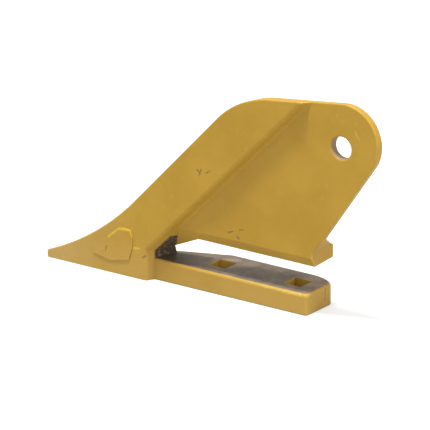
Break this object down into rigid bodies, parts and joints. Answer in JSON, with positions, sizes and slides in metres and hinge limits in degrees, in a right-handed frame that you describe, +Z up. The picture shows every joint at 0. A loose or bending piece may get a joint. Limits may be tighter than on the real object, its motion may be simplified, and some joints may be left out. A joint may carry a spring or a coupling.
{
  "type": "side tooth for a digging bucket",
  "caption": "Forged side tooth with a long point and an upright wing: a slot fits over the bucket's lip and a recess takes its side plate.",
  "frame": {"origin": "on the flat underside of the bolting bar, half way between the two square bolt holes", "axes": "+X runs back along the bolting bar, away from the point; +Y runs inward across the bucket, so the outer side with the recess faces -Y; +Z is up"},
  "size_m": [0.3888, 0.0636, 0.2234],
  "materials": {
    "yellow_paint": "matte"
  },
  "bodies": {
    "root": {"side_tooth": "yellow_paint"}
  },
  "joints": []
}
